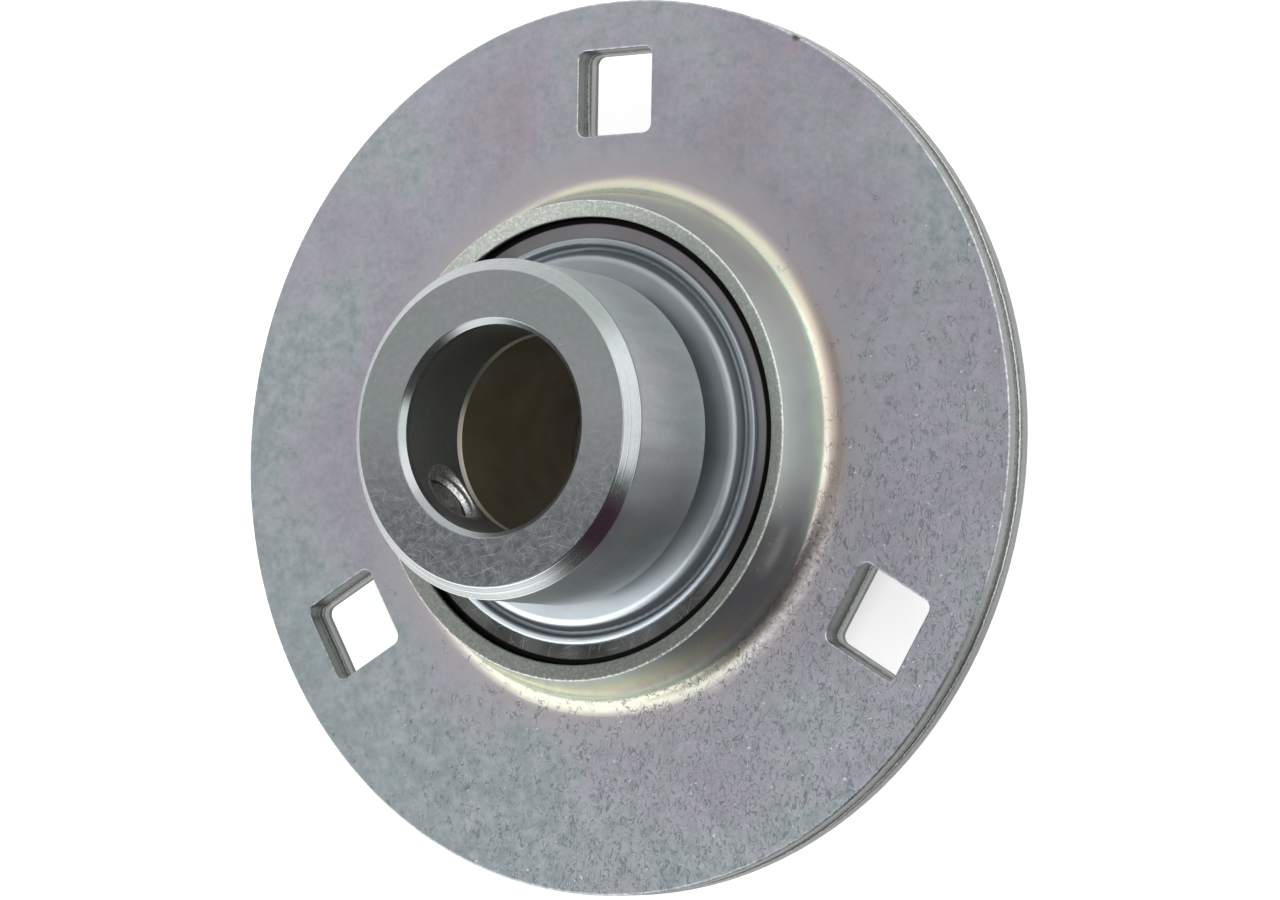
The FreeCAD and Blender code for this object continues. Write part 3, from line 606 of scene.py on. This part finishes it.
def studio_floor(stage):
    """Matt white board. It looks white to the eye and to the metal, and keeps the part's shadow."""
    material, tree, mm = begin("white_studio_board")
    at = around_axis(tree, mm)
    seen = add(tree, "LightPath")
    straight = add(tree, "Math", {
        0: seen.outputs["Is Camera Ray"], 1: seen.outputs["Is Glossy Ray"]}, operation="MAXIMUM")
    through = add(tree, "Math", {0: straight, 1: seen.outputs["Is Transmission Ray"]}, operation="MAXIMUM")
    # Under the bore the board stays in the dark.
    beside_bore = add(tree, "MapRange", {
        "Value": at.radius, "From Min": 2 * SHAFT_RADIUS, "From Max": 3 * SHAFT_RADIUS})
    through = add(tree, "Math", {0: through, 1: beside_bore}, operation="MULTIPLY")
    # A dark cloth lies on the board at the lower right, out of the picture. Only the metal sees it.
    away = add(tree, "VectorMath", {0: mm}, operation="NORMALIZE")
    toward = add(tree, "VectorMath", {0: away, 1: CLOTH_SIDE}, operation="DOT_PRODUCT")
    cloth = add(tree, "MapRange", {"Value": toward, "From Min": 0.74, "From Max": 0.84})
    beyond = add(tree, "MapRange", {"Value": at.radius, "From Min": CLOTH_START, "From Max": CLOTH_FULL})
    cloth = add(tree, "Math", {0: cloth, 1: beyond}, operation="MULTIPLY")
    cloth = add(tree, "Math", {0: cloth, 1: seen.outputs["Is Glossy Ray"]}, operation="MULTIPLY")
    uncovered = add(tree, "Math", {0: 1.0, 1: cloth}, operation="SUBTRACT")
    through = add(tree, "Math", {0: through, 1: uncovered}, operation="MULTIPLY")
    laid = add(tree, "Mix", {"Factor": cloth, "A": tuple(stage.board), "B": linear("#202020")}, data_type="RGBA")
    board = add(tree, "BsdfDiffuse", {"Color": laid})
    glow = add(tree, "Emission", {"Color": (1, 1, 1, 1), "Strength": stage.board_lift})
    lifted = add(tree, "AddShader", {0: board, 1: glow})
    surface = add(tree, "MixShader", {0: through, 1: board, 2: lifted})
    add(tree, "OutputMaterial", {"Surface": surface})
    return material


def light_tent(stage):
    """A white tent round the part: even overhead, brighter panels at the sides, and one dark opening."""
    world = bpy.data.worlds.new("light_tent")
    bpy.context.scene.world = world
    world.use_nodes = True
    tree = world.node_tree
    tree.nodes.clear()
    place = add(tree, "TexCoord")
    light = stage.roof_light
    # Each panel has its turn and rise in degrees, how far out it is full and where it ends, and its light.
    panels = (
        (0, 15, 28, 48, stage.right_light), (48, 20, 26, 42, stage.right_light), (5, 58, 10, 30, stage.front_light),
        (108, 10, 38, 62, stage.top_light), (-128, 5, 30, 55, stage.bottom_light),
        (-70, 50, 28, 44, stage.beam_light), (-52, 28, 21, 30, stage.opening_light),
        (-62, 2, 20, 32, stage.opening_light), (-133, 50, 13, 27, stage.low_roof_light),
    )
    for turn, rise, full, edge, level in panels:
        along = add(tree, "VectorMath", {
            0: place.outputs["Generated"], 1: direction(turn, rise)}, operation="DOT_PRODUCT")
        inside = add(tree, "MapRange", {
            "Value": along, "From Min": math.cos(math.radians(edge)),
            "From Max": math.cos(math.radians(full))}, interpolation_type="SMOOTHSTEP")
        light = add(tree, "Mix", {"Factor": inside, "A": light, "B": level}, data_type="FLOAT")
    seen = add(tree, "LightPath")
    shown = add(tree, "Mix", {"Factor": seen.outputs["Is Camera Ray"], "A": light, "B": 1.0}, data_type="FLOAT")
    backdrop = add(tree, "Background", {"Color": (1, 1, 1, 1), "Strength": shown})
    add(tree, "OutputWorld", {"Surface": backdrop})


class PlateLooks(bpy.types.PropertyGroup):
    """Colours of the pressed flange."""
    grey_film: bpy.props.FloatVectorProperty(
        name="Grey film", description="Passivated zinc where the film is neutral",
        default=linear("#a8adb2"), subtype="COLOR", **RGBA)
    lilac_film: bpy.props.FloatVectorProperty(
        name="Lilac film", description="Passivated zinc where the film looks lilac",
        default=linear("#a7a6b0"), subtype="COLOR", **RGBA)
    green_film: bpy.props.FloatVectorProperty(
        name="Green film", description="Passivated zinc where the film looks green",
        default=linear("#9faaac"), subtype="COLOR", **RGBA)
    warm_film: bpy.props.FloatVectorProperty(
        name="Warm film", description="Passivated zinc where the film looks warm",
        default=linear("#a39aa3"), subtype="COLOR", **RGBA)
    worm_mark: bpy.props.FloatVectorProperty(
        name="Worm mark", description="Short dark marks in the zinc",
        default=linear("#747980"), subtype="COLOR", **RGBA)
    wall_film: bpy.props.FloatVectorProperty(
        name="Wall film", description="Film colour on the hub's wall",
        default=linear("#b6bdb4"), subtype="COLOR", **RGBA)
    straw_band: bpy.props.FloatVectorProperty(
        name="Straw band", description="Film colour on the bend at the foot of the hub",
        default=linear("#c8c9b7"), subtype="COLOR", **RGBA)
    green_band: bpy.props.FloatVectorProperty(
        name="Green band", description="Film colour just inside the bend",
        default=linear("#bacfbb"), subtype="COLOR", **RGBA)
    rose_band: bpy.props.FloatVectorProperty(
        name="Rose band", description="Film colour on the flat next to the bend",
        default=linear("#b4aeb0"), subtype="COLOR", **RGBA)


class BearingLooks(bpy.types.PropertyGroup):
    """Colours of the insert bearing."""
    ring_steel: bpy.props.FloatVectorProperty(
        name="Ring steel", description="Ground face of the outer ring",
        default=linear("#686a69"), subtype="COLOR", **RGBA)
    oil_film: bpy.props.FloatVectorProperty(
        name="Oil film", description="Bore of the inner ring under its oil",
        default=linear("#968d76"), subtype="COLOR", **RGBA)
    ball_steel: bpy.props.FloatVectorProperty(
        name="Ball steel", description="Lapped balls where they are clean",
        default=linear("#c9cacc"), subtype="COLOR", **RGBA)
    cage_nylon: bpy.props.FloatVectorProperty(
        name="Cage nylon", description="Moulded cage between the balls",
        default=linear("#ddd3b4"), subtype="COLOR", **RGBA)
    cover_zinc: bpy.props.FloatVectorProperty(
        name="Cover zinc", description="Stamped cover of the seal",
        default=linear("#c2cad1"), subtype="COLOR", **RGBA)
    lip_rubber: bpy.props.FloatVectorProperty(
        name="Lip rubber", description="Rubber lip of the seal", default=linear("#1d1d1e"), subtype="COLOR", **RGBA)


class CollarLooks(bpy.types.PropertyGroup):
    """Colours of the locking collar and its screw."""
    collar_green: bpy.props.FloatVectorProperty(
        name="Greenish zinc", description="Collar where its film looks green",
        default=linear("#9ba3a1"), subtype="COLOR", **RGBA)
    collar_grey: bpy.props.FloatVectorProperty(
        name="Grey zinc", description="Collar where its film is neutral",
        default=linear("#a2a4a6"), subtype="COLOR", **RGBA)
    screw_steel: bpy.props.FloatVectorProperty(
        name="Screw steel", description="Set screw between its worn crests",
        default=linear("#9a9a98"), subtype="COLOR", **RGBA)


class StageLooks(bpy.types.PropertyGroup):
    """Camera, board and light."""
    board: bpy.props.FloatVectorProperty(
        name="Board", description="Colour of the board under the part",
        default=linear("#e6e6e6"), subtype="COLOR", **RGBA)
    board_lift: bpy.props.FloatProperty(
        name="Board lift", description="Light added to the board where it is seen, up to white", default=0.65, min=0)
    board_size: bpy.props.FloatProperty(
        name="Board size", description="Length of the board's sides", default=3.0, unit="LENGTH")
    roof_light: bpy.props.FloatProperty(
        name="Roof light", description="Light from overhead", default=0.61, min=0)
    right_light: bpy.props.FloatProperty(
        name="Right panel", description="Light from the panel on the right", default=2.2, min=0)
    front_light: bpy.props.FloatProperty(
        name="Front light", description="Light from beside the camera", default=1.25, min=0)
    top_light: bpy.props.FloatProperty(
        name="Far panel", description="Light from the panel behind the part's top edge", default=1.2, min=0)
    bottom_light: bpy.props.FloatProperty(
        name="Near panel", description="Light from the panel below the part's bottom edge", default=2.1, min=0)
    beam_light: bpy.props.FloatProperty(
        name="Beam light", description="Light from the dark beam above the tent's opening", default=0.08, min=0)
    opening_light: bpy.props.FloatProperty(
        name="Opening light", description="Light from the tent's opening", default=0.02, min=0)
    low_roof_light: bpy.props.FloatProperty(
        name="Low roof light", description="Light from the roof above the near panel", default=2.1, min=0)
    lens: bpy.props.FloatProperty(
        name="Lens", description="Focal length", default=117.74, unit="CAMERA")
    sensor: bpy.props.FloatProperty(
        name="Sensor", description="Width of the camera's sensor", default=36.0, unit="CAMERA")
    roll: bpy.props.FloatProperty(
        name="Roll", description="Turn of the camera about its own axis", default=math.radians(0.96), subtype="ANGLE")
    eye: bpy.props.FloatVectorProperty(
        name="Eye", description="Place of the camera", subtype="TRANSLATION",
        default=(0.22484, -0.03296, 0.35684))
    aim: bpy.props.FloatVectorProperty(
        name="Aim", description="Point that the camera looks at", subtype="TRANSLATION",
        default=(0.003794, -0.000642, 0.004))


class BEARING_OT_flange(bpy.types.Operator):
    """Finishes the two plates of the pressed flange"""
    bl_idname = "bearing.flange"
    bl_label = "Pressed flange"

    def execute(self, context):
        dress(passivated_plate(context.scene.plate_looks), "flange_front", "flange_rear")
        return {"FINISHED"}


class BEARING_OT_rings(bpy.types.Operator):
    """Finishes the outer and inner ring"""
    bl_idname = "bearing.rings"
    bl_label = "Bearing rings"

    def execute(self, context):
        dress(ground_steel(context.scene.bearing_looks), "outer_ring")
        dress(oiled_steel(context.scene.bearing_looks), "inner_ring")
        return {"FINISHED"}


class BEARING_OT_balls(bpy.types.Operator):
    """Finishes the balls and their cage"""
    bl_idname = "bearing.balls"
    bl_label = "Balls and cage"

    def execute(self, context):
        balls = [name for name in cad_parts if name.startswith("ball_")]
        dress(polished_balls(context.scene.bearing_looks), *balls)
        dress(nylon_cage(context.scene.bearing_looks), "cage")
        return {"FINISHED"}


class BEARING_OT_seals(bpy.types.Operator):
    """Finishes the seals on both sides"""
    bl_idname = "bearing.seals"
    bl_label = "Seals"

    def execute(self, context):
        sheet = seal_sheet(context.scene.bearing_looks)
        dress(sheet, "seal_cover_front", "seal_cover_rear", "seal_washer_front", "seal_washer_rear")
        dress(nitrile_rubber(context.scene.bearing_looks), "seal_lip_front", "seal_lip_rear")
        return {"FINISHED"}


class BEARING_OT_collar(bpy.types.Operator):
    """Finishes the locking collar and its set screw"""
    bl_idname = "bearing.collar"
    bl_label = "Locking collar"

    def execute(self, context):
        dress(turned_collar(context.scene.collar_looks), "locking_collar")
        dress(hardened_screw(context.scene.collar_looks), "set_screw")
        return {"FINISHED"}


class BEARING_OT_stage(bpy.types.Operator):
    """Sets up the board, the light and the camera"""
    bl_idname = "bearing.stage"
    bl_label = "Stage"

    def execute(self, context):
        stage = context.scene.stage_looks
        bpy.ops.object.select_all(action="DESELECT")
        bpy.ops.mesh.primitive_plane_add(size=stage.board_size, location=(0, 0, FLOOR))
        board = context.object
        board.name = "studio_board"
        bpy.ops.object.transform_apply(location=True, rotation=True, scale=True)
        board.data.materials.append(studio_floor(stage))
        light_tent(stage)
        self.place_camera(context, stage)
        return {"FINISHED"}

    def place_camera(self, context, stage):
        """The camera at the photograph's angle, with its up side near +Y."""
        eye, aim = Vector(stage.eye), Vector(stage.aim)
        back = (eye - aim).normalized()
        right = Vector((0, 1, 0)).cross(back).normalized()
        up = back.cross(right)
        bpy.ops.object.camera_add(location=eye)
        camera = context.object
        camera.name = "camera"
        turn = Matrix((right, up, back)).transposed() @ Matrix.Rotation(stage.roll, 3, "Z")
        camera.rotation_euler = turn.to_euler()
        camera.data.sensor_width = stage.sensor
        camera.data.lens = stage.lens
        context.scene.camera = camera
        context.scene.view_settings.view_transform = "Standard"


class BEARING_PT_panel(bpy.types.Panel):
    """The steps that dress the bearing, in the sidebar"""
    bl_label = "Flange bearing"
    bl_idname = "BEARING_PT_panel"
    bl_space_type = "VIEW_3D"
    bl_region_type = "UI"
    bl_category = "Bearing"

    def draw(self, context):
        for step in STEPS:
            self.layout.operator(step.bl_idname)
        for group in GROUPS:
            looks = getattr(context.scene, GROUPS[group])
            for name in group.__annotations__:
                self.layout.prop(looks, name)


STEPS = (
    BEARING_OT_flange, BEARING_OT_rings, BEARING_OT_balls, BEARING_OT_seals, BEARING_OT_collar, BEARING_OT_stage,
)
GROUPS = {
    PlateLooks: "plate_looks", BearingLooks: "bearing_looks", CollarLooks: "collar_looks", StageLooks: "stage_looks",
}


def register():
    for part in (*GROUPS, *STEPS, BEARING_PT_panel):
        bpy.utils.register_class(part)
    for group, name in GROUPS.items():
        setattr(bpy.types.Scene, name, bpy.props.PointerProperty(type=group))


def unregister():
    for name in GROUPS.values():
        delattr(bpy.types.Scene, name)
    for part in reversed((*GROUPS, *STEPS, BEARING_PT_panel)):
        bpy.utils.unregister_class(part)


def main():
    register()
    for step in STEPS:
        group, name = step.bl_idname.split(".")
        getattr(getattr(bpy.ops, group), name)()


if __name__ == "__main__":
    main()
